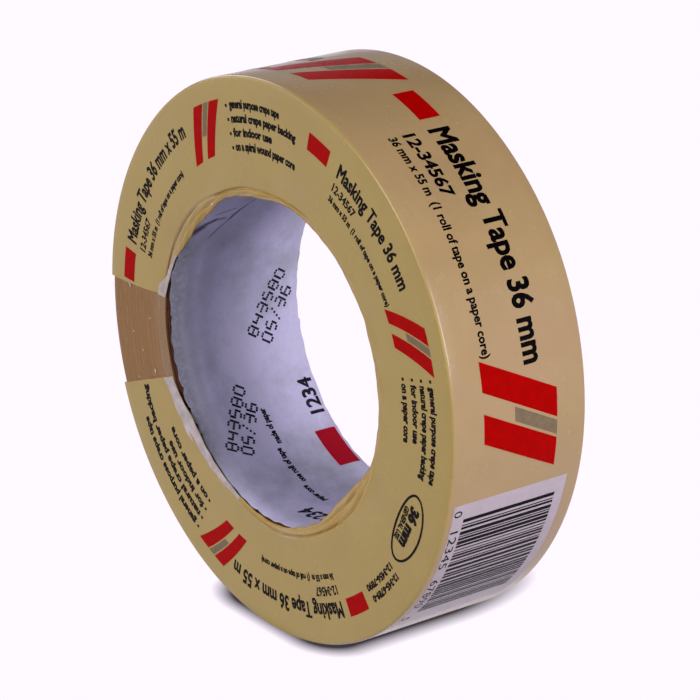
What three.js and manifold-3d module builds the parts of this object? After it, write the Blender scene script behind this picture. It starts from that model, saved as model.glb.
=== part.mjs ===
// A roll of paper masking tape in its printed shrink film, standing on its tread. Millimetres.
// The roll's axis lies along Y, its front face looks toward -Y, and the origin is the middle of its bore.
import * as THREE from "three";
import { mergeVertices } from "three/addons/utils/BufferGeometryUtils.js";
import Module from "manifold-3d";

// Driving dimensions
const TAPE_WIDTH = 36; // slit width of the tape, and the length the core is cut to
const BORE_RADIUS = 38.1; // a 3 inch core
const MOUTH_ROUNDING = 2; // the core's inner edges are crushed to this radius
const ROLL_RADIUS = 64.9; // over the film
const LINER_THICKNESS = 0.25;
const BOARD_PLIES = 5;
const BOARD_THICKNESS = 0.7;
const FILM_THICKNESS = 0.15;
const FILM_CLEARANCE = 0.05; // between the film and the tape's side
const LAYER_GAP = 0.08; // between one wound layer and the next
const TAPE_EDGE_BEVEL = 1.4; // the outermost laps are crushed at their edges
const FILM_CORNER_RADIUS = 1.5;
const FILM_LIP_RADIUS = 39.6; // where the film ends, over the end of the core

// Spiral seams of the core: every strip winds the same way, and each seam is turned on from the last.
const SEAM_WIDTH = 0.3;
const SEAM_TURN_PER_MM = THREE.MathUtils.degToRad(-2.6);
const SEAM_STAGGER = THREE.MathUtils.degToRad(137);
const SEAM_STEPS = 24;
const CUTTER_OVERRUN = 1; // how far a cutter runs past what it cuts

// The facets are turned half a step, so that the roll stands on a flat and not on a corner.
const FACETS = 72;
const HALF_FACET = Math.PI / FACETS;
const CORNER_STEPS = 3;

const HALF_WIDTH = TAPE_WIDTH / 2;
const LINER_OUTSIDE = BORE_RADIUS + LINER_THICKNESS;
const CORE_OUTSIDE = LINER_OUTSIDE + BOARD_PLIES * (LAYER_GAP + BOARD_THICKNESS);
const TAPE_INSIDE = CORE_OUTSIDE + LAYER_GAP;
const TAPE_OUTSIDE = ROLL_RADIUS - FILM_THICKNESS - FILM_CLEARANCE;

const wasm = await Module();
wasm.setup();

function paint(color, roughness) {
  return new THREE.MeshStandardMaterial({ color, roughness, metalness: 0 });
}

function namedMesh(name, geometry, material) {
  const mesh = new THREE.Mesh(geometry, material);
  mesh.name = name;
  return mesh;
}

// A closed ring about Y from an outline of [radius, y] points, listed so that the faces point outward.
function turnedRing(outline) {
  const points = [...outline, outline[0]].map(([radius, y]) => new THREE.Vector2(radius, y));
  return new THREE.LatheGeometry(points, FACETS, HALF_FACET);
}

function solidOf(geometry) {
  const bare = geometry.clone();
  bare.deleteAttribute("normal");
  bare.deleteAttribute("uv");
  const merged = mergeVertices(bare, 1e-4);
  const vertProperties = merged.attributes.position.array;
  const triVerts = new Uint32Array(merged.index.array);
  return new wasm.Manifold(new wasm.Mesh({ numProp: 3, vertProperties, triVerts }));
}

function geometryOf(solid) {
  const { vertProperties, triVerts } = solid.getMesh();
  const geometry = new THREE.BufferGeometry();
  geometry.setAttribute("position", new THREE.BufferAttribute(vertProperties, 3));
  geometry.setIndex(new THREE.BufferAttribute(triVerts, 1));
  geometry.computeVertexNormals();
  return geometry;
}

// A thin wall that winds about Y, which cuts a layer along its butt seam.
function seamCutter(innerRadius, thickness, startAngle) {
  const depth = thickness + 2 * CUTTER_OVERRUN;
  const length = TAPE_WIDTH + 2 * CUTTER_OVERRUN;
  const wall = new THREE.BoxGeometry(depth, length, SEAM_WIDTH, 1, SEAM_STEPS, 1);
  wall.translate(innerRadius + thickness / 2, 0, 0);
  const up = new THREE.Vector3(0, 1, 0);
  const positions = wall.attributes.position;
  const corner = new THREE.Vector3();
  for (let i = 0; i < positions.count; i += 1) {
    corner.fromBufferAttribute(positions, i);
    corner.applyAxisAngle(up, startAngle - SEAM_TURN_PER_MM * corner.y);
    positions.setXYZ(i, corner.x, corner.y, corner.z);
  }
  return wall;
}

// Half the length of a layer of the core, whose ends lie on the rounded mouths of the bore.
function layerHalfLength(radius) {
  const reach = Math.max(0, BORE_RADIUS + MOUTH_ROUNDING - radius);
  return HALF_WIDTH - MOUTH_ROUNDING + Math.sqrt(MOUTH_ROUNDING ** 2 - reach ** 2);
}

// One strip of the core tube: a ring that a spiral seam opens.
function spiralLayer(innerRadius, thickness, startAngle) {
  const outerRadius = innerRadius + thickness;
  const halfLength = layerHalfLength(innerRadius + thickness / 2);
  const ring = turnedRing([
    [innerRadius, halfLength],
    [innerRadius, -halfLength],
    [outerRadius, -halfLength],
    [outerRadius, halfLength],
  ]);
  const cutter = seamCutter(innerRadius, thickness, startAngle);
  return geometryOf(solidOf(ring).subtract(solidOf(cutter)));
}

function coreLiner() {
  const geometry = spiralLayer(BORE_RADIUS, LINER_THICKNESS, Math.PI);
  return namedMesh("core_liner", geometry, paint(0xd9d3e6, 0.75));
}

// Ply 1 is next to the liner, and the last one carries the tape.
function corePly(number) {
  const innerRadius = LINER_OUTSIDE + LAYER_GAP + (number - 1) * (BOARD_THICKNESS + LAYER_GAP);
  const geometry = spiralLayer(innerRadius, BOARD_THICKNESS, Math.PI + number * SEAM_STAGGER);
  return namedMesh(`core_ply_${number}`, geometry, paint(0x7a5a3c, 0.9));
}

function tapeWinding() {
  const shoulder = TAPE_OUTSIDE - TAPE_EDGE_BEVEL;
  const edge = HALF_WIDTH - TAPE_EDGE_BEVEL;
  const geometry = turnedRing([
    [TAPE_INSIDE, HALF_WIDTH],
    [TAPE_INSIDE, -HALF_WIDTH],
    [shoulder, -HALF_WIDTH],
    [TAPE_OUTSIDE, -edge],
    [TAPE_OUTSIDE, edge],
    [shoulder, HALF_WIDTH],
  ]);
  return namedMesh("tape_winding", geometry, paint(0x96704a, 0.7));
}

// Points round one corner of the film, from the side face (turn 0) to the tread (turn 1) at +Y.
function filmCorner(outerRadius, halfWidth, cornerRadius) {
  const points = [];
  for (let step = 0; step <= CORNER_STEPS; step += 1) {
    const angle = (step / CORNER_STEPS) * (Math.PI / 2);
    points.push([
      outerRadius - cornerRadius * (1 - Math.sin(angle)),
      halfWidth - cornerRadius * (1 - Math.cos(angle)),
    ]);
  }
  return points;
}

// The film's section is a channel, open toward the bore: tread, two side faces and rounded corners.
function shrinkFilm() {
  const innerHalfWidth = HALF_WIDTH + FILM_CLEARANCE;
  const outerHalfWidth = innerHalfWidth + FILM_THICKNESS;
  const innerCorner = FILM_CORNER_RADIUS - FILM_THICKNESS;
  const mirrored = (points) => points.map(([radius, y]) => [radius, -y]);
  const outside = filmCorner(ROLL_RADIUS, outerHalfWidth, FILM_CORNER_RADIUS);
  const inside = filmCorner(ROLL_RADIUS - FILM_THICKNESS, innerHalfWidth, innerCorner);
  const geometry = turnedRing([
    [FILM_LIP_RADIUS, -innerHalfWidth],
    [FILM_LIP_RADIUS, -outerHalfWidth],
    ...mirrored(outside),
    ...outside.toReversed(),
    [FILM_LIP_RADIUS, outerHalfWidth],
    [FILM_LIP_RADIUS, innerHalfWidth],
    ...inside,
    ...mirrored(inside).toReversed(),
  ]);
  return namedMesh("shrink_film", geometry, paint(0xc8b084, 0.35));
}

const roll = new THREE.Group();
roll.add(coreLiner());
for (let number = 1; number <= BOARD_PLIES; number += 1) {
  roll.add(corePly(number));
}
roll.add(tapeWinding());
roll.add(shrinkFilm());

export default roll;
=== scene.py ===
"""A roll of masking tape in its printed shrink film, standing on its tread on a pale floor.

Lengths in this script are millimetres until a mesh is made, and places on the roll are given by
three numbers: a turn in degrees (0 points along +X, 90 straight up, seen from the front face), a
radius from the roll's axis, and a place along the axis (front face at -Y).
"""

import math
from collections import namedtuple

import bmesh
import bpy
import numpy as np
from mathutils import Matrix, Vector


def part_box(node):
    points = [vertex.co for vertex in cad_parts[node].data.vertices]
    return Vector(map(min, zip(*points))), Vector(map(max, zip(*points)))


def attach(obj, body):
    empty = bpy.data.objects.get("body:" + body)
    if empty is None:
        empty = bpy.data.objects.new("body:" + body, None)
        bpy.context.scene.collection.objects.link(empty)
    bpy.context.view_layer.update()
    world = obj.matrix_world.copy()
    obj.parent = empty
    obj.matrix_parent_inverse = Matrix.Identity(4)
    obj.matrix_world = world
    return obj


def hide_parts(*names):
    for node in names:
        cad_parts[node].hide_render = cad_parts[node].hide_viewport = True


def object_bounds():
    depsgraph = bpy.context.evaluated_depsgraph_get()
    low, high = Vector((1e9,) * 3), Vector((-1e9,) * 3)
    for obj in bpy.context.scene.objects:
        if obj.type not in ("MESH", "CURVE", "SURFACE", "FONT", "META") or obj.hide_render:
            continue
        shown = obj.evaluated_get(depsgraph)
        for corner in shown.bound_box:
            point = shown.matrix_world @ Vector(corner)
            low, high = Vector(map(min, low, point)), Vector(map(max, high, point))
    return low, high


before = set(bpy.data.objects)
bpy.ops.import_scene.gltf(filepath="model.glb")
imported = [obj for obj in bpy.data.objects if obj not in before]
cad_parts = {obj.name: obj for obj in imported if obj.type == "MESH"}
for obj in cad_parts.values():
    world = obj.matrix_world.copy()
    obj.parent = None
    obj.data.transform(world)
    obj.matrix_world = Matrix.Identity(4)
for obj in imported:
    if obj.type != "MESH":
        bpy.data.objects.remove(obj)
cad_low, cad_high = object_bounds()

MM = 0.001

# Sizes of the roll, from the CAD model
ROLL_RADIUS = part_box("shrink_film")[1].z / MM
HALF_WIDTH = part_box("shrink_film")[1].y / MM
TAPE_HALF_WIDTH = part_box("tape_winding")[1].y / MM
LINER_THICKNESS = 0.25
BORE_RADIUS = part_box("core_liner")[1].z / MM - LINER_THICKNESS
CORE_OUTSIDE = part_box("core_ply_5")[1].z / MM
BOARD_PLIES = 5
FLOOR_HEIGHT = cad_low.z

# Film. The clear window runs between two turns, and pleats lean by degrees per millimetre of radius.
FILM_THICKNESS = 0.08
FILM_CLEARANCE = 0.1
MARGIN_LIFT = 0.08
MARGIN_NICK = 0.12
MARGIN_SET_BACK = 0.02
LEAST_MARGIN = 0.1
CORNER_RADIUS = 0.7
CORNER_START = ROLL_RADIUS - CORNER_RADIUS
GROOVE_WIDTH = 0.28
SHOULDER_WIDTH = 0.8
FOLD_SHARE = 0.45
NICK_DEPTH = 0.08
PLEAT_HEIGHT = 0.12
PLEAT_SLANT = 9.0
SAUCER_RADIUS = 42.2
SAUCER_WIDTH = 1.3
SAUCER_DEPTH = 0.16
FACE_WAVE = 0.05
TREAD_WAVE = 0.03
WINDOW_TOP = 177.3
WINDOW_BOTTOM = 201.0
WINDOW_SKEW = 3.3
SKEW_DEPTH = 30
WINDOW_GAP = 0.03
COLUMN_STEP = 0.6

# Winding
TAPE_THICKNESS = 0.13
TAPE_CORNER_RADIUS = 1.4
TAPE_GAP = 0.05
TAPE_SIDE_GAP = 0.1
TAPE_WAVE = 0.02
LAP_RIDGES = 80
RIDGE_HEIGHTS = (-0.05, 0.04)

# Core. The inner plies are crushed back furthest, as shares of the flare of the mouth.
FLARE_DEPTH = 4.0
PLY_GAP = 0.03
PLY_RECESS = 0.1
PLY_TEAR = 0.12
NOTCHES = 34
INNER_PLY_CRUSH = 0.45
OUTER_PLY_CRUSH = 0.05
PAPER_THICKNESS = 0.8 * LINER_THICKNESS
LINER_RECESS = 0.35
LINER_TEAR = 0.28
LINER_WAVE = 0.06
SEAM_TURN = 115.0
SEAM_TURN_PER_MM = -2.6
SEAM_STEP = 0.22
SEAM_FADE = 9
PAST_SEAM = 0.01
CREASE_WIDTH = 0.5

# Print
INK_LIFT = 0.015
INK_THICKNESS = 0.02
FILM_INK_STEPS = (1.0, 2.0)
LINER_INK_STEPS = (1.0, 1.0)
PANEL_LIFT = 0.03
CAPITAL_HEIGHT = 0.69  # of the built-in font, where the size of the type is 1
DOTS_PER_SEGMENT = 4

# Stage. The contact shade on the floor fades over a fringe round the roll's foot.
FLOOR_HALF_WIDTH = 8000
FOOT_CENTRE = -3.0
FOOT_HALF_LENGTH = 12.0
SIDE_FRINGE = 15.0
FOOT_FRONT = -9.0
FRONT_FRINGE = 11.5
BACK_FRINGE = 32.0
DARK_TO = 0.65
BRIGHT_FROM = 1.04
LIGHT_BELOW = 0.08
HORIZON_LIGHT = 0.43
HORIZON_TOP = 0.40
DARK_OVERHEAD = 0.48

FRONT = -1
BACK = 1


def at(turn, radius, along):
    """Points of the roll as an array whose last axis is x, y, z, in millimetres."""
    angle = np.radians(turn)
    return np.stack(np.broadcast_arrays(radius * np.cos(angle), along, radius * np.sin(angle)), -1)


def round_curve(stations):
    """A smooth closed curve of a value against the turn, through (turn, value) stations."""
    turns, values = zip(*stations)
    table = np.interp(np.arange(360), turns, values, period=360)
    window = np.hanning(9)
    window /= window.sum()
    smooth = np.convolve(np.r_[table[-4:], table, table[:4]], window, "valid")
    return lambda turn: np.interp(turn, np.arange(360), smooth, period=360)


def ripple(seed, lowest, highest, shortest=math.inf, count=7):
    """A closed wavy line round the roll, of about -1 to 1, made of sines between two orders.

    A shortest wavelength makes it a sheet, whose sines also shift their phase along a second direction.
    """
    random = np.random.default_rng(seed)
    orders = random.integers(lowest, highest + 1, count)
    phases = random.uniform(0, 2 * math.pi, count)
    rates = random.uniform(-1, 1, count) * 2 * math.pi / shortest

    def value(turn, across=0.0):
        waves = [np.sin(np.radians(turn) * n + p + across * k) for n, p, k in zip(orders, phases, rates)]
        return sum(waves) / math.sqrt(count)

    return value


# ---- the film's shape

# The film's lip over the core at one turn: the radius of its edge, the radius of the groove between
# it and the flat face, how far its edge drops, the groove's depth and the depth of a fold in it.
Lip = namedtuple("Lip", "turn edge groove drop groove_depth fold_depth", defaults=(0.0, 0.0, 0.0))
FRONT_LIP = [
    Lip(0, 37.9, 39.6, 1.6),
    Lip(40, 38.0, 39.7, 1.5),
    Lip(60, 38.0, 39.8, 1.4, 0.1),
    Lip(75, 37.9, 39.7, 1.2, 0.45, 0.1),
    Lip(87, 37.9, 39.2, 1.1, 0.5, 0.1),
    Lip(97, 37.1, 39.3, 1.2, 0.5, 0.2),
    Lip(108, 37.6, 39.6, 1.1, 0.6, 0.1),
    Lip(119, 38.3, 39.6, 0.7, 0.7),
    Lip(126, 37.8, 40.2, 1.0, 0.3, 0.2),
    Lip(131, 37.6, 40.8, 1.1, 0.25, 0.3),
    Lip(140, 38.0, 41.3, 1.2, 0.6, 0.2),
    Lip(151, 38.6, 41.8, 0.8, 0.6, 0.1),
    Lip(159, 40.2, 42.0, 0.3, 0.45),
    Lip(171, 41.4, 42.6, 0.1, 0.1),
    Lip(178, 42.5, 43.2),
    Lip(203, 42.3, 43.2),
    Lip(209, 40.8, 42.4),
    Lip(217, 38.7, 40.6, 0.0, 0.1),
    Lip(229, 38.6, 40.0, 0.0, 0.2),
    Lip(244, 38.5, 39.9, 0.1, 0.2),
    Lip(256, 38.8, 39.8, 0.3, 0.3),
    Lip(268, 39.1, 40.1, 0.7, 0.5),
    Lip(275, 39.0, 40.5, 1.0, 0.6),
    Lip(285, 37.8, 39.9, 1.2, 0.55, 0.1),
    Lip(299, 36.6, 39.2, 1.3, 0.55, 0.2),
    Lip(308, 35.2, 39.1, 1.5, 0.6, 0.4),
    Lip(313, 34.7, 39.2, 1.6, 0.6, 0.5),
    Lip(323, 34.8, 39.2, 1.7, 0.4, 0.5),
    Lip(332, 36.0, 39.0, 1.8, 0.2, 0.3),
    Lip(340, 37.6, 39.2, 1.7, 0.0, 0.1),
]


def plain_lip():
    """The back's lip: it ends on the core's cut end, a little wavy all the way round."""
    wave = ripple(21, 3, 14)
    turns = range(0, 360, 12)
    return [Lip(t, 39.3 + 0.4 * wave(t), 41.2 + 0.3 * wave(t + 30), 0.5, 0.2) for t in turns]


def lip_curves(lips):
    """The stations of a lip as one smooth curve for each of its measures."""
    names = Lip._fields[1:]
    return Lip(None, *[round_curve([(lip.turn, getattr(lip, name)) for lip in lips]) for name in names])


LIPS = {FRONT: lip_curves(FRONT_LIP), BACK: lip_curves(plain_lip())}
pleats = ripple(5, 5, 30, count=13)
nicks = ripple(6, 20, 70, count=9)
face_wave = ripple(7, 2, 9, 30)
tread_wave = ripple(8, 2, 9, 40)


def lip_edge(turn, side):
    """The radius where the film ends over the core."""
    return LIPS[side].edge(turn) + NICK_DEPTH * nicks(turn)


def face_height(turn, radius, side):
    """How far the film's side face stands from the middle of the roll's width."""
    lip = LIPS[side]
    edge = lip_edge(turn, side)
    groove = lip.groove(turn)
    share = np.clip((groove + SHOULDER_WIDTH - radius) / (groove + SHOULDER_WIDTH - edge), 0, 1)
    drop = lip.drop(turn) * (1 - np.sqrt(1 - share**2))
    furrow = lip.groove_depth(turn) * np.exp(-(((radius - groove) / GROOVE_WIDTH) ** 2))
    fold_radius = edge + FOLD_SHARE * (groove - edge)
    furrow = furrow + lip.fold_depth(turn) * np.exp(-(((radius - fold_radius) / GROOVE_WIDTH) ** 2))
    pleat = PLEAT_HEIGHT * np.sqrt(share) * np.minimum(lip.drop(turn), 1)
    pleat = pleat * pleats(turn + PLEAT_SLANT * radius)
    saucer = SAUCER_DEPTH * np.exp(-(((radius - SAUCER_RADIUS) / SAUCER_WIDTH) ** 2))
    wave = FACE_WAVE * face_wave(turn + 40 * side, radius)
    return HALF_WIDTH - drop - furrow - saucer - pleat + wave - FACE_WAVE


def tread_radius(turn, along):
    """The radius of the film's tread, which is a little slack."""
    return ROLL_RADIUS + TREAD_WAVE * (tread_wave(turn, along) - 1)


def window_top(radius):
    """The turn of the clear window's upper edge, which is cut a little askew."""
    depth = ROLL_RADIUS - np.minimum(radius, ROLL_RADIUS)
    return WINDOW_TOP - WINDOW_SKEW * (depth / SKEW_DEPTH) ** 2


def film_sheet(turn_at):
    """The film's outer surface, one row of points for each station of its section, edge to edge."""
    lip_rows, face_rows, corner_rows, tread_rows = 24, 8, 6, 12
    sides = {}
    for side in (FRONT, BACK):
        rows = []
        lip_turn = turn_at(BORE_RADIUS)
        edge = lip_edge(lip_turn, side)
        shoulder = LIPS[side].groove(lip_turn) + SHOULDER_WIDTH
        for bend in np.linspace(math.pi / 2, 0, lip_rows, endpoint=False):
            radius = shoulder - (shoulder - edge) * math.sin(bend)
            rows.append(at(lip_turn, radius, side * face_height(lip_turn, radius, side)))
        for share in np.linspace(0, 1, face_rows, endpoint=False):
            turn = turn_at(BORE_RADIUS + (ROLL_RADIUS - BORE_RADIUS) * share)
            start = LIPS[side].groove(turn) + SHOULDER_WIDTH
            radius = start + (CORNER_START - start) * share
            rows.append(at(turn, radius, side * face_height(turn, radius, side)))
        turn = turn_at(ROLL_RADIUS)
        corner_height = face_height(turn, CORNER_START, side)
        corner_top = tread_radius(turn, side * (HALF_WIDTH - CORNER_RADIUS))
        for bend in np.linspace(0, math.pi / 2, corner_rows):
            radius = CORNER_START + (corner_top - CORNER_START) * math.sin(bend)
            inset = (corner_height - HALF_WIDTH + CORNER_RADIUS) * (1 - math.cos(bend))
            rows.append(at(turn, radius, side * (corner_height - inset)))
        sides[side] = rows
    reach = HALF_WIDTH - CORNER_RADIUS
    turn = turn_at(ROLL_RADIUS)
    tread = [at(turn, tread_radius(turn, y), y) for y in np.linspace(-reach, reach, tread_rows)[1:-1]]
    return np.array(sides[FRONT] + tread + sides[BACK][::-1])


# ---- meshes


def grid_quads(ids):
    """The four corners of every cell in a grid of point numbers."""
    ids = np.asarray(ids)
    corners = [ids[:-1, :-1], ids[:-1, 1:], ids[1:, 1:], ids[1:, :-1]]
    return np.stack(corners, -1).reshape(-1, 4)


def piece_from(name, points, faces, crease=50):
    """A mesh object from points in millimetres, with its faces turned outward."""
    mesh = bpy.data.meshes.new(name)
    mesh.from_pydata((points * MM).tolist(), [], [tuple(face) for face in faces])
    shaped = bmesh.new()
    shaped.from_mesh(mesh)
    bmesh.ops.recalc_face_normals(shaped, faces=shaped.faces)
    shaped.to_mesh(mesh)
    shaped.free()
    mesh.shade_smooth()
    mesh.set_sharp_from_angle(angle=math.radians(crease))
    piece = bpy.data.objects.new(name, mesh)
    bpy.context.scene.collection.objects.link(piece)
    return piece


def turned_piece(name, loop, closed=True, crease=50):
    """A closed ring, or an arc with capped ends, from rows of points that go round its section."""
    rows, columns, _ = loop.shape
    ids = np.arange(rows * columns).reshape(rows, columns)
    around = np.c_[ids, ids[:, :1]] if closed else ids
    faces = [grid_quads(np.r_[around, around[:1]])]
    if not closed:
        half = rows // 2
        for end in (ids[:, 0], ids[:, -1]):
            faces.append(grid_quads([end[:half], end[::-1][:half]]))
    return piece_from(name, loop.reshape(-1, 3), np.concatenate(faces), crease)


def thickened(sheet, thickness, closed):
    """The rows of a sheet and then of its other side, a thickness further out (or in, if negative)."""
    if closed:
        along = np.roll(sheet, -1, 1) - np.roll(sheet, 1, 1)
    else:
        along = np.gradient(sheet, axis=1)
    normal = np.cross(np.gradient(sheet, axis=0), along)
    normal /= np.linalg.norm(normal, axis=2, keepdims=True)
    return np.concatenate([sheet, (sheet + normal * thickness)[::-1]])


def add_piece(piece, material, slot, *nodes):
    """Hands a finished piece to the frame: its material, its body and the CAD nodes it stands for."""
    piece.data.materials.append(material)
    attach(piece, "root")
    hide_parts(*nodes)
    return piece


# ---- procedural materials


class Shader:
    """A material under construction: short names for the few node kinds that this script uses."""

    def __init__(self, name, roughness, specular=0.5):
        self.material = bpy.data.materials.new(name)
        self.material.use_nodes = True
        self.tree = self.material.node_tree
        self.surface = self.tree.nodes["Principled BSDF"]
        self.set("Roughness", roughness)
        self.set("Specular IOR Level", specular)
        place = self.tree.nodes.new("ShaderNodeTexCoord")
        self.place = place.outputs["Object"]

    def set(self, socket, value):
        self.surface.inputs[socket].default_value = value

    def link(self, source, target):
        self.tree.links.new(source, target)

    def to_surface(self, source, socket):
        self.link(source, self.surface.inputs[socket])

    def noise(self, scale, detail=3.0, roughness=0.5, vector=None):
        node = self.tree.nodes.new("ShaderNodeTexNoise")
        node.inputs["Scale"].default_value = scale
        node.inputs["Detail"].default_value = detail
        node.inputs["Roughness"].default_value = roughness
        self.link(vector or self.place, node.inputs["Vector"])
        return node.outputs["Fac"]

    def fill(self, sockets, values):
        """Gives each socket its value: a number, or another node's output."""
        for socket, value in zip(sockets, values):
            if isinstance(value, (int, float)):
                socket.default_value = value
            else:
                self.link(value, socket)

    def math(self, operation, first, second=0.0):
        node = self.tree.nodes.new("ShaderNodeMath")
        node.operation = operation
        self.fill(node.inputs, (first, second))
        return node.outputs["Value"]

    def times(self, first, second):
        return self.math("MULTIPLY", first, second)

    def span(self, source, low, high, start=0.0, end=1.0):
        """Source from low to high becomes start to end, and stays there outside that range."""
        node = self.tree.nodes.new("ShaderNodeMapRange")
        self.link(source, node.inputs["Value"])
        for socket, value in zip(("From Min", "From Max", "To Min", "To Max"), (low, high, start, end)):
            node.inputs[socket].default_value = value
        return node.outputs["Result"]

    def band(self, source, ends, start=0.0, end=1.0):
        """As span, with the ends as a pair in millimetres."""
        return self.span(source, ends[0] * MM, ends[1] * MM, start, end)

    def mix(self, factor, first, second):
        """A colour between two, each given as three numbers or as another node's output."""
        node = self.tree.nodes.new("ShaderNodeMix")
        node.data_type = "RGBA"
        self.link(factor, node.inputs["Factor"])
        colours = [socket for socket in node.inputs if socket.type == "RGBA"]
        for socket, colour in zip(colours, (first, second)):
            if isinstance(colour, tuple):
                socket.default_value = (*colour, 1.0)
            else:
                self.link(colour, socket)
        return next(socket for socket in node.outputs if socket.type == "RGBA")

    def bump(self, height, distance, strength=1.0):
        """Adds a height in metres to the surface's normal, on top of any bump already there."""
        node = self.tree.nodes.new("ShaderNodeBump")
        node.inputs["Strength"].default_value = strength
        node.inputs["Distance"].default_value = distance
        self.link(height, node.inputs["Height"])
        normal = self.surface.inputs["Normal"]
        if normal.is_linked:
            self.link(normal.links[0].from_socket, node.inputs["Normal"])
        self.link(node.outputs["Normal"], normal)

    def axes(self):
        node = self.tree.nodes.new("ShaderNodeSeparateXYZ")
        self.link(self.place, node.inputs["Vector"])
        return node.outputs

    def polar(self):
        """The radius from the roll's axis in metres, the turn in radians, and the place along it."""
        x, y, z = self.axes()
        squares = self.math("ADD", self.times(x, x), self.times(z, z))
        return self.math("SQRT", squares), self.math("ARCTAN2", z, x), y

    def degrees(self, turn):
        """A turn in radians as degrees from 0 to 360."""
        return self.times(self.math("FLOORED_MODULO", turn, 2 * math.pi), 180 / math.pi)

    def streaks(self, across, around, along=0.0, detail=4, roughness=0.6):
        """Noise drawn out round the roll, with a scale for the radius and a scale for the turn."""
        radius, turn, _ = self.polar()
        node = self.tree.nodes.new("ShaderNodeCombineXYZ")
        self.fill(node.inputs, (self.times(radius, across), self.times(turn, around), along))
        return self.noise(1, detail, roughness, node.outputs["Vector"])


FACE_TAN = (0.365, 0.254, 0.061)
TREAD_TAN = (0.388, 0.262, 0.128)
TREAD_ROSE = (0.405, 0.262, 0.150)
# The lip's tan holds painted shade as well as denser ink.
LIP_SHADED_TAN = (0.365, 0.222, 0.024)

# Where the film's looks change: at a distance from the middle of the width, and at two radii.
FACE_FROM = (17.7, 18.1)
LIP_UP_TO = (39.2, 40.4)
MILKY_UP_TO = (44.6, 47.5)


def scaled(colour, share):
    """A colour made darker or lighter."""
    return tuple(channel * share for channel in colour)


def printed_film_material():
    """Tan ink under glossy film: a little warmer on the tread, mottled, with fine dust specks."""
    shade = Shader("film_tan_print", 0.25, 0.4)
    radius, _, y = shade.polar()
    on_face = shade.band(shade.math("ABSOLUTE", y), FACE_FROM)
    base = shade.mix(on_face, TREAD_TAN, FACE_TAN)
    darker = shade.mix(on_face, scaled(TREAD_TAN, 0.88), scaled(FACE_TAN, 0.9))
    mottle = shade.span(shade.noise(55, 4, 0.6), 0.35, 0.7)
    colour = shade.mix(mottle, base, darker)
    rosy = shade.mix(on_face, TREAD_ROSE, scaled(FACE_TAN, 1.02))
    colour = shade.mix(shade.span(shade.noise(28, 3, 0.6), 0.5, 0.62, 0, 0.5), colour, rosy)
    # The lip's darker, more saturated tan is partly denser ink where the film shrank and partly painted
    # shade.
    colour = shade.mix(shade.band(radius, LIP_UP_TO, 0.8, 0), colour, LIP_SHADED_TAN)
    specks = shade.span(shade.noise(1600, 1, 0.5), 0.74, 0.80, 0, 0.45)
    colour = shade.mix(specks, colour, scaled(FACE_TAN, 0.45))
    shade.to_surface(colour, "Base Color")
    shade.to_surface(shade.span(shade.noise(120, 3), 0.3, 0.7, 0.2, 0.3), "Roughness")
    shade.bump(shade.noise(700, 3, 0.55), 0.00002)
    shade.bump(shade.noise(90, 2), 0.00012)
    return shade.material


def clear_film_material():
    """Unprinted film: clear, and milky in a band near the bore where it isn't shrunk tight."""
    shade = Shader("film_clear", 0.2, 0.5)
    shade.set("Base Color", (0.62, 0.58, 0.56, 1))
    radius, _, _ = shade.polar()
    streaks = shade.streaks(900, 1)
    milky = shade.band(radius, MILKY_UP_TO, 0.05, 0)
    cloud = shade.times(shade.span(streaks, 0.3, 0.75, 0.5, 1.6), milky)
    flecks = shade.span(shade.noise(420, 2, 0.6), 0.71, 0.75, 0, 0.5)
    shade.to_surface(shade.math("MAXIMUM", cloud, flecks), "Alpha")
    shade.bump(shade.noise(260, 3), 0.00005)
    return shade.material


def milky_film_material():
    """The unprinted, unshrunk margin of the film: whitish, with ribs across it."""
    shade = Shader("film_milky_margin", 0.3, 0.5)
    ribs = shade.streaks(250, 14)
    colour = shade.mix(shade.span(ribs, 0.3, 0.7), (0.30, 0.24, 0.22), (0.50, 0.44, 0.46))
    shade.to_surface(colour, "Base Color")
    shade.bump(ribs, 0.0002)
    return shade.material


def wound_tape_material():
    """The side of the winding: brown, with the fine rings of the laps and dusty streaks along them."""
    shade = Shader("crepe_tape_side", 0.55)
    radius, _, y = shade.polar()
    streaks = shade.streaks(1400, 3, y, roughness=0.65)
    broad = shade.noise(60, 3)
    colour = shade.mix(shade.span(streaks, 0.3, 0.7), (0.185, 0.083, 0.013), (0.255, 0.118, 0.021))
    colour = shade.mix(shade.span(broad, 0.45, 0.75, 0, 0.5), colour, (0.195, 0.097, 0.019))
    shade.to_surface(colour, "Base Color")
    laps = shade.math("SINE", shade.times(radius, 2 * math.pi / (TAPE_THICKNESS * MM)))
    shade.bump(laps, 0.00001)
    shade.bump(streaks, 0.00008)
    return shade.material


def board_material():
    """Raw brown board: fibres along the strip and layers in its cut end."""
    shade = Shader("core_board", 0.95, 0.15)
    _, _, y = shade.polar()
    layers = shade.streaks(5000, 20, y, detail=3)
    fibres = shade.noise(1800, 4, 0.7)
    colour = shade.mix(shade.span(layers, 0.3, 0.7), (0.062, 0.021, 0.012), (0.112, 0.041, 0.022))
    colour = shade.mix(shade.span(fibres, 0.5, 0.8, 0, 0.5), colour, (0.14, 0.07, 0.04))
    shade.to_surface(colour, "Base Color")
    shade.bump(fibres, 0.0002)
    return shade.material


# Painted shadow in the liner's creases: two places as (turn, place along), the width and the strength.
CREASE_SHADOWS = [
    ((126.0, -4.6), (143.5, -9.0), 0.8, 1.0),
    ((141.0, -8.2), (150.0, -12.4), 0.6, 0.6),
    ((138.9, -9.5), (138.8, -13.4), 0.7, 0.6),
    ((138.4, -12.0), (141.4, -15.8), 1.0, 0.9),
    ((140.4, -14.6), (147.5, -18.0), 1.5, 1.0),
    ((132.6, -8.0), (135.9, -14.0), 0.7, 0.5),
]


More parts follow.
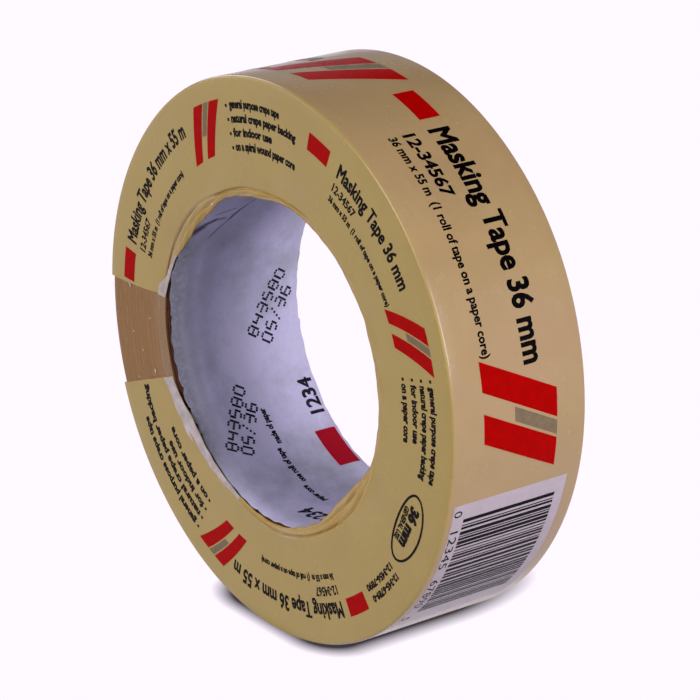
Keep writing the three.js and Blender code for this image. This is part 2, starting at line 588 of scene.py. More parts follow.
def crease_shade(shade, turn, along, start, end, width):
    """Runs from 0 to 1 on a narrow dark line between two places, given as (turn, place along)."""
    radius = BORE_RADIUS * MM
    arc = shade.times(shade.math("FLOORED_MODULO", turn, 2 * math.pi), radius)
    first = np.array([math.radians(start[0]) * radius, start[1] * MM])
    run = np.array([math.radians(end[0]) * radius, end[1] * MM]) - first
    length = float(np.hypot(*run))
    run /= length
    arc = shade.math("SUBTRACT", arc, float(first[0]))
    along = shade.math("SUBTRACT", along, float(first[1]))
    forward = shade.math("ADD", shade.times(arc, float(run[0])), shade.times(along, float(run[1])))
    aside = shade.math("ADD", shade.times(arc, float(-run[1])), shade.times(along, float(run[0])))
    aside = shade.math("ABSOLUTE", aside)
    past_start = shade.span(forward, 0, 0.2 * length)
    before_end = shade.span(forward, 0.8 * length, length, 1, 0)
    near = shade.span(aside, 0.2 * width, width, 1, 0)
    return shade.times(near, shade.times(past_start, before_end))


# The part of the liner darkened by painted shade, where little light reaches into the front of the bore,
# and by some grime: turns where it fades in and out, how far in from the front the dark edge of the mouth
# reaches, and where the fainter darkening behind it ends.
SHADE_AND_GRIME_FROM = (138, 154)
SHADE_AND_GRIME_TO = (228, 250)
MOUTH_SHADE_AND_GRIME = (-16.5, -12.2)
FAINT_SHADE_AND_GRIME_END = (-1.0, 5.0)


def mouth_shade_and_grime(shade, turn, along):
    """How far painted shade and some grime darken the liner, from 0 to 1."""
    degrees = shade.degrees(turn)
    shade_and_grime = shade.times(shade.span(degrees, *SHADE_AND_GRIME_FROM), shade.span(degrees, *SHADE_AND_GRIME_TO, 1, 0))
    shade_and_grime = shade.times(shade_and_grime, shade.band(along, MOUTH_SHADE_AND_GRIME, 0.92, 0.2))
    return shade.times(shade_and_grime, shade.band(along, FAINT_SHADE_AND_GRIME_END, 1, 0))


def liner_material():
    """White liner paper with a cool tint, soft grey smudges, a trace of fibre, painted shadow in its
    creases and painted shade with some grime near the front of the bore.
    """
    shade = Shader("liner_paper", 0.75, 0.1)
    _, turn, y = shade.polar()
    smudges = shade.noise(48, 6, 0.66)
    colour = shade.mix(shade.span(smudges, 0.45, 0.72), (0.65, 0.61, 0.87), (0.36, 0.365, 0.46))
    # Painted shade with some grime: the liner is darkest just inside the front of the bore.
    colour = shade.mix(mouth_shade_and_grime(shade, turn, y), colour, (0.14, 0.143, 0.18))
    fibres = shade.noise(900, 4, 0.7)
    colour = shade.mix(shade.span(fibres, 0.45, 0.8, 0, 0.35), colour, (0.48, 0.45, 0.62))
    # Each crease gets a dark line of painted shadow.
    for start, end, width, strength in CREASE_SHADOWS:
        line = shade.times(crease_shade(shade, turn, y, start, end, width * MM), strength)
        colour = shade.mix(line, colour, (0.07, 0.055, 0.10))
    shade.to_surface(colour, "Base Color")
    shade.bump(shade.noise(160, 4, 0.6), 0.00015)
    shade.bump(fibres, 0.00003)
    return shade.material


def ink_material(name, colour, worn, roughness=0.22, gloss=0.04):
    """Ink on film or paper, a little uneven in colour and gloss."""
    shade = Shader(name, roughness, gloss)
    patches = shade.span(shade.noise(500, 4, 0.6), 0.35, 0.75)
    shade.to_surface(shade.mix(patches, colour, worn), "Base Color")
    shade.to_surface(shade.span(patches, 0, 1, roughness - 0.05, roughness + 0.1), "Roughness")
    shade.bump(shade.noise(700, 3, 0.55), 0.00002)
    return shade.material


# ---- film pieces


def film_piece(name, turn_at):
    """A sheet of film: at each radius it covers the turns that turn_at gives."""
    loop = thickened(film_sheet(turn_at), -FILM_THICKNESS, closed=False)
    return turned_piece(name, loop, closed=False)


def printed_film():
    """The tan film, which runs round from one edge of the clear window to the other."""
    columns = np.linspace(0, 1, round((360 - WINDOW_BOTTOM + WINDOW_TOP) / COLUMN_STEP))
    start = WINDOW_BOTTOM - 360 + WINDOW_GAP

    def turn_at(radius):
        return start + (window_top(radius) - WINDOW_GAP - start) * columns

    piece = film_piece("film_printed", turn_at)
    return add_piece(piece, printed_film_material(), "printed_film", "shrink_film")


def clear_film():
    """The same film between the edges of the window, without print."""
    columns = np.linspace(0, 1, round((WINDOW_BOTTOM - WINDOW_TOP) / COLUMN_STEP))

    def turn_at(radius):
        return window_top(radius) + (WINDOW_BOTTOM - window_top(radius)) * columns

    piece = film_piece("film_clear_window", turn_at)
    return add_piece(piece, clear_film_material(), "printed_film", "shrink_film")


# The unprinted margin of the front face: (turn, outer radius) on either side of the clear window.
MARGIN_ABOVE = [(158, 40.4), (164, 41.6), (169, 42.9), (172, 44.4), (175.4, 44.9)]
MARGIN_BELOW = [
    (201.2, 46.0),
    (207, 44.8),
    (214, 44.0),
    (221, 43.3),
    (230, 41.5),
    (239, 40.5),
    (251, 39.8),
]


def margin_sheet(outline, side=FRONT):
    """The surface of a margin, from the lip's edge out to the margin's outline."""
    turns, radii = zip(*outline)
    turn = np.arange(turns[0], turns[-1], 0.4)
    outer = np.interp(turn, turns, radii) + MARGIN_NICK * nicks(turn)
    inner = lip_edge(turn, side) + MARGIN_SET_BACK
    rows = []
    for share in np.linspace(0, 1, 6):
        radius = inner + (np.maximum(outer, inner + LEAST_MARGIN) - inner) * share
        rows.append(at(turn, radius, side * (face_height(turn, radius, side) + MARGIN_LIFT)))
    return np.array(rows)


def film_margin():
    """The two strips of unprinted margin, laid on the film beside the window."""
    material = milky_film_material()
    for name, outline in (("film_margin_above", MARGIN_ABOVE), ("film_margin_below", MARGIN_BELOW)):
        loop = thickened(margin_sheet(outline), -INK_THICKNESS, closed=False)
        add_piece(turned_piece(name, loop, closed=False), material, "printed_film", "shrink_film")


# ---- tape and core


def tape_winding():
    """The winding as one ring whose sides carry the low ridges of its laps."""
    turn = np.arange(0, 360, 0.9)
    inside = CORE_OUTSIDE + TAPE_GAP
    outside = ROLL_RADIUS - 2 * FILM_THICKNESS - 2 * TREAD_WAVE
    corner = TAPE_CORNER_RADIUS
    ridge_radii = np.linspace(inside, outside - corner, LAP_RIDGES)
    ridge_heights = np.random.default_rng(11).uniform(*RIDGE_HEIGHTS, LAP_RIDGES)
    side = TAPE_HALF_WIDTH - TAPE_SIDE_GAP
    rows = {FRONT: [], BACK: []}
    for end in (FRONT, BACK):
        for radius, height in zip(ridge_radii, ridge_heights):
            rows[end].append(at(turn, radius, end * (side + height + TAPE_WAVE * face_wave(turn, radius))))
        for bend in np.linspace(0, math.pi / 2, 6)[1:]:
            radius = outside - corner * (1 - math.sin(bend))
            rows[end].append(at(turn, radius, end * (side - corner * (1 - math.cos(bend)))))
    loop = np.array(rows[FRONT] + rows[BACK][::-1])
    piece = turned_piece("tape_winding_laps", loop)
    return add_piece(piece, wound_tape_material(), "crepe_tape", "tape_winding")


# How far the mouth of the bore is crushed outward, as (turn, distance).
FRONT_FLARE = [
    (0, 0.6),
    (140, 0.6),
    (150, 1.3),
    (158, 2.5),
    (168, 3.3),
    (177, 3.0),
    (200, 2.9),
    (212, 2.2),
    (226, 1.0),
    (244, 0.6),
]
BACK_FLARE = [(0, 0.7), (90, 0.5), (170, 0.9), (260, 0.6)]
MOUTH_FLARE = {FRONT: round_curve(FRONT_FLARE), BACK: round_curve(BACK_FLARE)}


def core_radius(nominal, turn, along):
    """The radius of a layer of the core, squeezed outward where the mouth of the bore is crushed."""
    flare = np.where(along < 0, MOUTH_FLARE[FRONT](turn), MOUTH_FLARE[BACK](turn))
    nearness = np.clip(1 - (TAPE_HALF_WIDTH - np.abs(along)) / FLARE_DEPTH, 0, 1)
    squeeze = 1 - flare * nearness**2 / (CORE_OUTSIDE - BORE_RADIUS)
    return CORE_OUTSIDE - (CORE_OUTSIDE - nominal) * squeeze


def layer_loop(inner, outer, front_end, back_end, turn):
    """The closed section of a core layer: back along its inside, and forward along its outside."""
    spread = 0.5 - 0.5 * np.cos(np.linspace(0, math.pi, 25))
    along = front_end + np.multiply.outer(spread, back_end - front_end)
    inside = at(turn, core_radius(inner, turn, along), along)
    outside = at(turn, core_radius(outer, turn, along), along)
    return np.concatenate([inside, outside[::-1]])


def under_film(turn, radius, side):
    """How far from the middle of the width a piece may reach at a radius and stay below the film."""
    return face_height(turn, radius, side) - FILM_THICKNESS - FILM_CLEARANCE


def layer_reach(turn, inner, outer, side):
    """The same reach for a layer between two radii."""
    return np.min([under_film(turn, radius, side) for radius in np.linspace(inner, outer, 5)], 0)


def torn_edge(seed):
    """A torn paper edge: a slightly uneven line with a few short notches, from about -1 to 1."""
    uneven = ripple(seed, 9, 60, count=12)
    random = np.random.default_rng(seed)
    middles = random.uniform(0, 360, NOTCHES)
    widths = random.uniform(0.4, 1.6, NOTCHES)
    depths = random.uniform(0.3, 1.2, NOTCHES)

    def value(turn):
        line = 0.35 * uneven(turn)
        for middle, width, depth in zip(middles, widths, depths):
            away = (turn - middle + 180) % 360 - 180
            line = line - depth * np.clip(1 - np.abs(away) / width, 0, 1)
        return line

    return value


def core_plies():
    """Board strips, one over the other, whose cut ends are torn and crushed."""
    material = board_material()
    turn = np.arange(0, 360, 0.75)
    thickness = (CORE_OUTSIDE - BORE_RADIUS - LINER_THICKNESS) / BOARD_PLIES
    crushes = np.linspace(INNER_PLY_CRUSH, OUTER_PLY_CRUSH, BOARD_PLIES)
    for number, crush in enumerate(crushes, 1):
        node = f"core_ply_{number}"
        low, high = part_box(node)
        inner = BORE_RADIUS + LINER_THICKNESS + (number - 1) * thickness
        outer = inner + thickness
        torn = torn_edge(30 + number)
        recess = PLY_RECESS + crush * MOUTH_FLARE[FRONT](turn)
        front = np.maximum(low.y / MM + recess, -layer_reach(turn, inner, outer, FRONT))
        back = np.minimum(high.y / MM, layer_reach(turn, inner, outer, BACK))
        front = front + PLY_TEAR * (1 - torn(turn))
        back = back - PLY_TEAR * (1 - torn(turn + 90))
        loop = layer_loop(inner + PLY_GAP, outer - PLY_GAP, front, back, turn)
        add_piece(turned_piece(f"{node}_board", loop), material, "core_board", node)


# Creases in the liner, each from one (turn, place along) to another, with its depth.
LINER_CREASES = [
    ((129.7, -5.4), (142.8, -8.9), 0.1),
    ((142.8, -8.9), (148.5, -11.6), 0.06),
    ((139.2, -8.5), (138.6, -12.6), 0.12),
    ((138.6, -12.6), (140.9, -15.2), 0.2),
    ((140.9, -15.2), (145.8, -17.2), 0.3),
    ((132.8, -8.4), (135.5, -13.5), 0.1),
]


def crease_depth(turn, along):
    """How far the liner is pushed out of round by its creases, which are sharp on one side."""
    depth = 0
    arc = np.radians(turn) * BORE_RADIUS
    for (turn_a, along_a), (turn_b, along_b), deepest in LINER_CREASES:
        start = np.array([math.radians(turn_a) * BORE_RADIUS, along_a])
        run = np.array([math.radians(turn_b) * BORE_RADIUS, along_b]) - start
        share = np.clip(((arc - start[0]) * run[0] + (along - start[1]) * run[1]) / (run @ run), 0, 1)
        arc_away, along_away = arc - start[0] - share * run[0], along - start[1] - share * run[1]
        distance = np.hypot(arc_away, along_away) / CREASE_WIDTH
        rise = np.where(along_away > 0, 1.0, -0.6)
        depth = depth + deepest * rise * np.exp(-(distance**2))
    return depth


liner_wave = ripple(9, 3, 14, 25)


def liner_radius(turn, along):
    """The radius of the liner's printed side. It steps where one turn of the strip overlaps the next."""
    past_seam = (turn - SEAM_TURN - SEAM_TURN_PER_MM * along) % 360
    lap = SEAM_STEP * np.exp((past_seam - 360) / SEAM_FADE)
    bent = LINER_WAVE * liner_wave(turn, along)
    return core_radius(BORE_RADIUS, turn, along) - lap + bent + crease_depth(turn, along)


def core_liner():
    """The liner, on a grid that follows the strip's spiral, so that the step at its seam is sharp."""
    lead = np.arange(0, 360, 0.6)
    torn = torn_edge(41)
    longest = TAPE_HALF_WIDTH - LINER_RECESS
    sheet = []
    for share in np.linspace(-1, 1, 56):
        side = FRONT if share < 0 else BACK
        turn = SEAM_TURN + SEAM_TURN_PER_MM * share * longest + lead
        end = np.minimum(longest, under_film(turn, core_radius(BORE_RADIUS, turn, side * longest), side))
        along = share * end + side * LINER_TEAR * torn(lead) * abs(share) ** 8
        turn = SEAM_TURN + PAST_SEAM + SEAM_TURN_PER_MM * along + lead
        sheet.append(at(turn, liner_radius(turn, along), along))
    loop = thickened(np.array(sheet), PAPER_THICKNESS, closed=True)
    piece = turned_piece("core_liner_paper", loop, crease=35)
    return add_piece(piece, liner_material(), "liner_paper", "core_liner")


# ---- print


def on_side_face(start_turn, base_radius, side=FRONT):
    """Places print on a side face: it reads clockwise seen from that side, with its top outward."""

    def place(x, y, lift):
        turn = start_turn - np.degrees(x / (base_radius + 2))
        if side == BACK:
            turn = WINDOW_TOP + WINDOW_BOTTOM - turn
        radius = base_radius + y
        return at(turn, radius, side * (face_height(turn, radius, side) + lift))

    return place


def on_tread(start_turn, base_along, raised=0.0):
    """Places print on the tread: it reads round the roll, with its top toward the back face."""

    def place(x, y, lift):
        turn = start_turn - np.degrees(x / ROLL_RADIUS)
        along = base_along + y
        return at(turn, tread_radius(turn, along) + lift + raised, along)

    return place


def on_liner(start_turn, base_along, slant=0.0):
    """Places print in the bore: it reads round the bore, and climbs toward the back by its slant."""
    across, climb = math.cos(math.radians(slant)), math.sin(math.radians(slant))

    def place(x, y, lift):
        arc = -(across * x) - climb * y
        along = base_along + climb * x - across * y
        turn = start_turn + np.degrees(arc / BORE_RADIUS)
        return at(turn, liner_radius(turn, along) - lift, along)

    return place


def embolden(flat, weight):
    """Moves the outline of flat lettering outward by a weight, with a limit at sharp corners."""
    outward = {}
    for face in flat.faces:
        for corner in face.loops:
            if corner.edge.is_boundary:
                start, end = corner.vert, corner.link_loop_next.vert
                run = (end.co - start.co).normalized()
                for vert in (start, end):
                    outward.setdefault(vert, []).append(Vector((run.y, -run.x, 0)) * face.normal.z)
    for vert, sides in outward.items():
        if len(sides) == 2:
            vert.co += weight * (sides[0] + sides[1]) / max(1 + sides[0].dot(sides[1]), 0.6)


class Print:
    """One colour of print: flat shapes, drawn in millimetres and laid on the roll as thin solid ink."""

    def __init__(self, steps=FILM_INK_STEPS):
        self.steps = steps
        self.points = []
        self.faces = []

    def lay(self, flat, place):
        """Lays a flat mesh on the roll, cut into small squares so that it follows the surface."""
        for axis, step in enumerate(self.steps):
            ends = [v.co[axis] for v in flat.verts]
            for cut in np.arange(math.floor(min(ends)) + step, max(ends), step):
                everything = flat.verts[:] + flat.edges[:] + flat.faces[:]
                spot = Vector((0, 0, 0))
                spot[axis] = cut
                bmesh.ops.bisect_plane(flat, geom=everything, plane_co=spot, plane_no=spot.normalized())
        top = bmesh.ops.extrude_face_region(flat, geom=flat.faces[:])
        for item in top["geom"]:
            if isinstance(item, bmesh.types.BMVert):
                item.co.z = 1.0
        flat.verts.index_update()
        spots = np.array([v.co[:] for v in flat.verts])
        lift = INK_LIFT + INK_THICKNESS * spots[:, 2]
        first = sum(len(points) for points in self.points)
        self.points.append(place(spots[:, 0], spots[:, 1], lift))
        self.faces += [tuple(first + v.index for v in face.verts) for face in flat.faces]
        flat.free()

    def bar(self, left, low, right, high, place, slant=0.0):
        """A bar whose top edge is pushed sideways by slant."""
        corners = ((left, low), (right, low), (right + slant, high), (left + slant, high))
        flat = bmesh.new()
        flat.faces.new([flat.verts.new((x, y, 0)) for x, y in corners])
        self.lay(flat, place)

    def ring(self, centre, half_length, half_height, line, place, steps=48):
        """An oval line."""
        flat = bmesh.new()
        loops = []
        for grow in (0, line):
            angles = [2 * math.pi * step / steps for step in range(steps)]
            across, up = half_length + grow, half_height + grow
            spots = [(centre[0] + across * math.cos(a), centre[1] + up * math.sin(a), 0) for a in angles]
            loops.append([flat.verts.new(spot) for spot in spots])
        for i in range(steps):
            j = (i + 1) % steps
            flat.faces.new([loops[0][i], loops[1][i], loops[1][j], loops[0][j]])
        self.lay(flat, place)

    def words(self, text, length, height, place, weight=0.035, smoothness=3):
        """Plain lettering, stretched to a length and to the height of its capitals."""
        curve = bpy.data.curves.new("lettering", "FONT")
        curve.body = text
        curve.resolution_u = smoothness
        lettering = bpy.data.objects.new("lettering", curve)
        bpy.context.scene.collection.objects.link(lettering)
        bpy.context.view_layer.update()
        drawn = lettering.evaluated_get(bpy.context.evaluated_depsgraph_get())
        mesh = bpy.data.meshes.new_from_object(drawn)
        bpy.data.objects.remove(lettering)
        flat = bmesh.new()
        flat.from_mesh(mesh)
        bpy.data.meshes.remove(mesh)
        bmesh.ops.remove_doubles(flat, verts=flat.verts, dist=1e-3)
        embolden(flat, weight)
        left = min(v.co.x for v in flat.verts)
        right = max(v.co.x for v in flat.verts)
        for v in flat.verts:
            v.co.x = (v.co.x - left) / (right - left) * length
            v.co.y = v.co.y / CAPITAL_HEIGHT * height
        self.lay(flat, place)

    def small_print(self, text, length, height, place):
        """Lettering too small to show round corners, and bolder for its size."""
        self.words(text, length, height, place, weight=0.055, smoothness=2)

    def dots(self, text, place, width=1.9, height=2.9, pitch=3.0, dot=0.56):
        """Digits and strokes in printed dots, each digit drawn on seven segments without its corners."""
        corners = {(x, y) for x in (0, width) for y in (-height / 2, height / 2)}
        for index, character in enumerate(text):
            spots = set()
            for segment in SEGMENTS[character]:
                (x_a, y_a), (x_b, y_b) = SEGMENT_ENDS[segment]
                for step in range(DOTS_PER_SEGMENT):
                    share = step / (DOTS_PER_SEGMENT - 1)
                    x = (x_a + (x_b - x_a) * share) * width
                    y = (y_a + (y_b - y_a) * share - 0.5) * height
                    spots.add((round(x, 2), round(y, 2)))
            for x, y in sorted(spots - corners):
                left = index * pitch + x
                self.bar(left, y - dot / 2, left + dot, y + dot / 2, place)

    def piece(self, name, material, slot, node):
        """One mesh of all the ink laid so far."""
        made = piece_from(name, np.concatenate(self.points), self.faces)
        return add_piece(made, material, slot, node)


# The seven segments by their usual letters, and a slash, on a digit one wide and one high.
SEGMENT_ENDS = {
    "a": ((0, 1), (1, 1)),
    "b": ((1, 0.5), (1, 1)),
    "c": ((1, 0), (1, 0.5)),
    "d": ((0, 0), (1, 0)),
    "e": ((0, 0), (0, 0.5)),
    "f": ((0, 0.5), (0, 1)),
    "g": ((0, 0.5), (1, 0.5)),
    "/": ((0.15, 0), (0.85, 1)),
}
SEGMENTS = {"0": "abcdef", "3": "abcdg", "4": "bcfg", "5": "acdfg", "6": "acdefg", "8": "abcdefg", "/": "/"}


def emblem(red, grey, place, length, height, slant):
    """Two slanted red bars with a short grey bar between them."""
    bar = 0.37 * length
    red.bar(0, 0, bar, height, place, slant)
    red.bar(length - bar, 0, length, height, place, slant)
    gap = 0.04 * length
    low = 0.42 * height
    shift = slant * low / height
    grey.bar(bar + gap + shift, low, length - bar - gap + shift, height, place, slant - shift)


TITLE = "Masking Tape 36 mm"
LONG_TITLE = "Masking Tape 36 mm x 55 m"
SIZE_LINE = "12-34567"
FINE_LINE = "36 mm x 55 m  (1 roll of tape on a paper core)"
BULLET_LINES = ("general purpose crepe tape", "natural crepe paper backing", "for indoor use")

# The length and height of a block or a line of print, and where its foot stands: at a radius on a side
# face, and at a place along the axis on the tread.
Strip = namedtuple("Strip", "size foot")
FACE_BLOCK = Strip((7.6, 4.2), 54.8)
FACE_SIZE_LINE = Strip((9.0, 2.0), 51.4)
FACE_FINE_LINE = Strip((29.0, 1.4), 48.6)
FACE_EMBLEM = Strip((8.8, 12.0), 47.8)
TREAD_BLOCK = Strip((10.2, 5.6), 2.2)
TREAD_TITLE = Strip((56.5, 5.3), 2.0)
TREAD_SIZE_LINE = Strip((17.5, 3.1), -4.9)
TREAD_FINE_LINE = Strip((53.0, 2.1), -8.8)
TREAD_EMBLEM = Strip((18.0, 20.0), -10.0)
PANEL = Strip((43.0, 30.9), -16.5)
BARCODE = Strip((32.0, 25.2), -13.4)
FACE_SLANT = 6.1
TREAD_SLANT = 9.8

CORE_LINE = "on a paper core"
LONG_CORE_LINE = "on a spiral wound paper core"

# One group of print on a side face: the turns where its block, title, emblem and list start, the title
# and its length, the list's last line and the lengths of its four lines.
FaceGroup = namedtuple("FaceGroup", "block title emblem bullets title_text title_length last_line lengths")
FACE_GROUPS = [
    FaceGroup(75.5, 64.0, 31.0, 13.3, TITLE, 31.0, CORE_LINE, (22.7, 21.9, 13.5, 13.6)),
    FaceGroup(176.0, 166.0, 125.8, 106.5, LONG_TITLE, 40.5, LONG_CORE_LINE, (19.3, 24.7, 15.0, 22.8)),
    FaceGroup(-52.0, -62.0, -102.0, -120.5, LONG_TITLE, 43.5, CORE_LINE, (29.4, 35.3, 18.6, 20.0)),
]


def print_face_group(black, red, grey, group, side):
    """A red block, a title with two lines below it, the emblem and a list."""

    def face(turn, foot):
        return on_side_face(turn, foot, side)

    red.bar(0, 0, *FACE_BLOCK.size, face(group.block, FACE_BLOCK.foot))
    black.words(group.title_text, group.title_length, 3.5, face(group.title, 55.2))
    black.words(SIZE_LINE, *FACE_SIZE_LINE.size, face(group.title, FACE_SIZE_LINE.foot), smoothness=2)
    black.small_print(FINE_LINE, *FACE_FINE_LINE.size, face(group.title, FACE_FINE_LINE.foot))
    emblem(red, grey, face(group.emblem, FACE_EMBLEM.foot), *FACE_EMBLEM.size, FACE_SLANT)
    top_row, row_pitch, indent = 57.5, 3.15, 1.5
    for row, (line, length) in enumerate(zip((*BULLET_LINES, group.last_line), group.lengths)):
        foot = top_row - row_pitch * row
        black.bar(0, 0.3, 0.7, 1.0, face(group.bullets, foot))
        black.small_print(line, length, 1.8, face(group.bullets - indent, foot))


def print_badge(black, side):
    """An oval seal with two lines in it, and two lines of running digits beside it."""
    black.ring((9.5, 4.2), 8.6, 3.7, 0.6, on_side_face(-14.5, 50.5, side))
    black.words("36 mm", 11.5, 2.6, on_side_face(-18.3, 53.7, side), weight=0.07)
    black.small_print("GENERAL USE", 10.0, 1.3, on_side_face(-19.6, 51.8, side))
    black.small_print("12-345-6789-0", 12.3, 1.5, on_side_face(-37.2, 57.1, side))
    black.small_print("12-3456-7890", 12.3, 1.5, on_side_face(-37.2, 54.3, side))


def print_side_face(black, red, grey, side):
    """Three groups round the face, and the badge."""
    for group in FACE_GROUPS:
        print_face_group(black, red, grey, group, side)
    print_badge(black, side)


TREAD_GROUP_STARTS = (74.6, 162.0, -57.0)
TITLE_AFTER_BLOCK = 12.0
EMBLEM_AFTER_BLOCK = 59.0


def print_tread(black, red, grey):
    """Three groups, each a red block, a title with two lines below it and the emblem."""
    for start in TREAD_GROUP_STARTS:
        title = start - TITLE_AFTER_BLOCK
        emblem_place = on_tread(start - EMBLEM_AFTER_BLOCK, TREAD_EMBLEM.foot)
        red.bar(0, 0, *TREAD_BLOCK.size, on_tread(start, TREAD_BLOCK.foot))
        black.words(TITLE, *TREAD_TITLE.size, on_tread(title, TREAD_TITLE.foot))
        black.words(SIZE_LINE, *TREAD_SIZE_LINE.size, on_tread(title, TREAD_SIZE_LINE.foot))
        black.words(FINE_LINE, *TREAD_FINE_LINE.size, on_tread(title, TREAD_FINE_LINE.foot), smoothness=2)
        emblem(red, grey, emblem_place, *TREAD_EMBLEM.size, TREAD_SLANT)


# Digits under the barcode: the text, the turn where it starts and its length.
BARCODE_DIGITS = (("0", -13.2, 1.7), ("12345", -18.0, 11.0), ("67890", -31.0, 11.0), ("5", -45.0, 1.7))
BARCODE_MODULE = 0.31


def print_barcode(black, panel):
    """A pale panel with bars of random widths, which no reader can decode, and plain digits."""
    panel.bar(0, 0, *PANEL.size, on_tread(-12.0, PANEL.foot))
    random = np.random.default_rng(17)
    place = on_tread(-15.5, BARCODE.foot, PANEL_LIFT)
    code_length, height = BARCODE.size
    left = 0.0
    while left < code_length:
        bar = BARCODE_MODULE * random.integers(1, 4)
        black.bar(left, 0, left + bar, height, place)
        left += bar + BARCODE_MODULE * random.integers(1, 3)
    for digits, start, length in BARCODE_DIGITS:
        black.words(digits, length, 2.1, on_tread(start, -16.2, PANEL_LIFT), weight=0.0)


# Print in the bore, each as its text or mark, the turn where it starts and its place along the axis.
# The dotted codes also have a slant and the small lines a length, and both come twice round the bore.
DOTTED_CODES = (
    ("843580", -166.1, 2.9, 33),
    ("05/36", -162.8, 6.5, 33),
    ("843580", -127.7, -12.7, 32),
    ("05/36", -124.6, -9.5, 32),
)
LINER_BLOCKS = ((-109.0, 13.6), (-53.0, -9.4), (71.0, 13.6))
LINER_BLOCK_LENGTH = 11.5
LINER_BLOCK_HALF = 3.0
NUMBER_AFTER_BLOCK = 24.0
SMALL_LINER_LINES = (
    ("paper core", -92.5, -1.4, 8.0),
    ("one roll of tape", -106.5, -0.4, 11.5),
    ("made of paper", -125.5, 0.7, 9.8),
)


def print_liner(black, red):
    """Dotted codes and small lines, and red blocks with a number beside them."""
    for turned in (0, 180):
        for text, start, along, slant in DOTTED_CODES:
            black.dots(text, on_liner(start + turned, along, slant))
    for start, along in LINER_BLOCKS:
        red.bar(0, -LINER_BLOCK_HALF, LINER_BLOCK_LENGTH, LINER_BLOCK_HALF, on_liner(start, along))
        black.words("1234", 9.4, 3.8, on_liner(start - NUMBER_AFTER_BLOCK, along + 2.6))
    for turned in (0, 180):
        for text, start, along, length in SMALL_LINER_LINES:
            black.small_print(text, length, 1.5, on_liner(start + turned, along))


def printing():
    """All the print, in one piece for each ink and each sheet that carries it."""
    black, red, grey, panel = Print(), Print(), Print(), Print()
    for side in (FRONT, BACK):
        print_side_face(black, red, grey, side)
    print_tread(black, red, grey)
    print_barcode(black, panel)
    black_ink = ink_material("ink_black", (0.001, 0.001, 0.001), (0.003, 0.002, 0.003))
    red_ink = ink_material("ink_red", (0.39, 0.0005, 0.0005), (0.30, 0.0005, 0.0005), gloss=0.02)
    grey_ink = ink_material("ink_grey", (0.20, 0.15, 0.095), (0.15, 0.11, 0.07))
    panel_ink = ink_material("ink_pale_panel", (0.50, 0.42, 0.50), (0.44, 0.37, 0.42))
    black.piece("film_print_black", black_ink, "printed_film", "shrink_film")
    red.piece("film_print_red", red_ink, "printed_film", "shrink_film")
    grey.piece("film_print_grey", grey_ink, "printed_film", "shrink_film")
    panel.piece("film_print_panel", panel_ink, "printed_film", "shrink_film")
    liner_black, liner_red = Print(LINER_INK_STEPS), Print(LINER_INK_STEPS)
    print_liner(liner_black, liner_red)
    liner_ink = ink_material("ink_liner_black", (0.012, 0.009, 0.018), (0.045, 0.04, 0.06), 0.7)
    liner_red_ink = ink_material("ink_liner_red", (0.42, 0.006, 0.02), (0.34, 0.008, 0.02), 0.7)
    liner_black.piece("liner_print_black", liner_ink, "liner_paper", "core_liner")
    liner_red.piece("liner_print_red", liner_red_ink, "liner_paper", "core_liner")


# ---- stage, light and camera


FLOOR_WHITE = (1.04, 0.956, 1.07)
FLOOR_SHADE = (0.05, 0.04, 0.05)
WORLD_TINT = (0.95, 0.96, 1.05)


def floor():
    """A white table that glows evenly, with a painted contact shadow round the roll's foot."""
    half = FLOOR_HALF_WIDTH * MM
    corners = [(x * half, y * half, 0) for x, y in ((-1, -1), (1, -1), (1, 1), (-1, 1))]
    mesh = bpy.data.meshes.new("floor")
    mesh.from_pydata(corners, [], [(0, 1, 2, 3)])
    table = bpy.data.objects.new("floor", mesh)
    table.location.z = FLOOR_HEIGHT
    table.visible_diffuse = False
    bpy.context.scene.collection.objects.link(table)
    mesh.materials.append(floor_material())


def floor_material():
    """White glow, and a painted contact shadow round the foot whose edge is soft over a fringe on each
    side.
    """
    shade = Shader("floor_white", 0.9, 0.0)
    shade.set("Base Color", (0, 0, 0, 1))
    shade.set("Emission Strength", 1.0)
    x, y, _ = shade.axes()

    def past(source, start, fringe):
        return shade.times(shade.math("SUBTRACT", source, start * MM), 1 / (fringe * MM))

    beside = shade.math("ABSOLUTE", shade.math("SUBTRACT", x, FOOT_CENTRE * MM))
    beside = shade.math("MAXIMUM", past(beside, FOOT_HALF_LENGTH, SIDE_FRINGE), 0.0)
    in_front = past(y, FOOT_FRONT, -FRONT_FRINGE)
    behind = past(y, HALF_WIDTH, BACK_FRINGE)
    outside = shade.math("MAXIMUM", shade.math("MAXIMUM", in_front, behind), 0.0)
    squares = shade.math("ADD", shade.times(beside, beside), shade.times(outside, outside))
    # Painted contact shadow: the glow fades to dark round the foot.
    glow = shade.span(shade.math("SQRT", squares), DARK_TO, BRIGHT_FROM)
    shade.to_surface(shade.mix(glow, FLOOR_SHADE, FLOOR_WHITE), "Emission Color")
    return shade.material


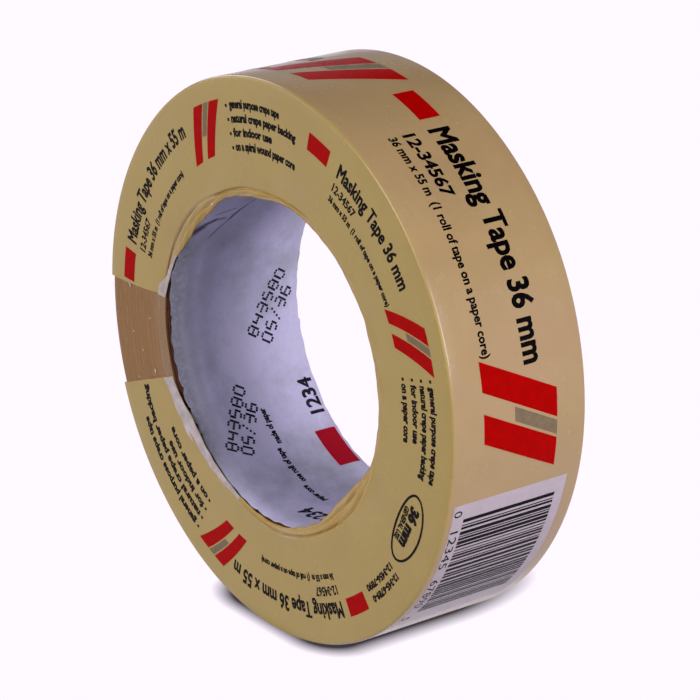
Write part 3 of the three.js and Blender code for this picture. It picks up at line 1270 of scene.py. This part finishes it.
def surroundings():
    """A studio that is pale at the horizon and dark overhead."""
    world = bpy.data.worlds.new("studio")
    world.use_nodes = True
    tree = world.node_tree
    direction = tree.nodes.new("ShaderNodeTexCoord")
    axes = tree.nodes.new("ShaderNodeSeparateXYZ")
    ramp = tree.nodes.new("ShaderNodeValToRGB")
    tree.links.new(direction.outputs["Generated"], axes.inputs["Vector"])
    tree.links.new(axes.outputs["Z"], ramp.inputs["Fac"])
    levels = ramp.color_ramp.elements
    levels.remove(levels[1])
    steps = ((0.0, LIGHT_BELOW), (0.03, HORIZON_LIGHT), (HORIZON_TOP, HORIZON_LIGHT), (DARK_OVERHEAD, 0.0))
    for height, light in steps:
        level = levels[0] if height == 0 else levels.new(height)
        level.color = (*scaled(WORLD_TINT, light), 1)
    tree.links.new(ramp.outputs["Color"], tree.nodes["Background"].inputs["Color"])
    bpy.context.scene.world = world


def stand(thing, azimuth, elevation, distance):
    """Faces a light or a camera to the roll, metres away: azimuth 0 is in front, 90 on the +X side."""
    a, e = math.radians(azimuth), math.radians(elevation)
    toward = Vector((math.sin(a) * math.cos(e), -math.cos(a) * math.cos(e), math.sin(e)))
    thing.location = toward * distance
    thing.rotation_euler = toward.to_track_quat("Z", "Y").to_euler()
    bpy.context.scene.collection.objects.link(thing)


# Square lights: azimuth and elevation in degrees, distance and size in metres, and power in watts.
Softbox = namedtuple("Softbox", "name azimuth elevation distance size power")
SOFTBOXES = [
    Softbox("front", -8, 22, 2.6, 1.2, 40.0),
    Softbox("right", 97, 20, 1.2, 0.6, 14.0),
    Softbox("left_low", -50, 2, 1.2, 0.6, 2.5),
    Softbox("front_low", 40, 6, 1.2, 0.6, 2.5),
    Softbox("left_back", 270, 30, 1.2, 0.6, 5.5),
]


def lights():
    """Five large soft lights, the brightest in front."""
    for box in SOFTBOXES:
        light = bpy.data.lights.new(box.name, "AREA")
        light.size = box.size
        light.energy = box.power
        light.color = (1.0, 0.97, 0.98)
        stand(bpy.data.objects.new(box.name, light), box.azimuth, box.elevation, box.distance)


def camera():
    """The camera that took the photograph: a long lens, from the right and a little above."""
    lens = bpy.data.cameras.new("camera")
    lens.lens = 163.82
    lens.sensor_width = 36
    lens.shift_x = 0.0200
    lens.shift_y = -0.0055
    lens.clip_start = 0.01
    lens.clip_end = 50
    holder = bpy.data.objects.new("camera", lens)
    stand(holder, azimuth=53.05, elevation=20.50, distance=0.7193)
    bpy.context.scene.camera = holder


bpy.context.scene.view_settings.view_transform = "Standard"
camera()
floor()
surroundings()
lights()

printed_film()
clear_film()
film_margin()
tape_winding()
core_plies()
core_liner()
printing()
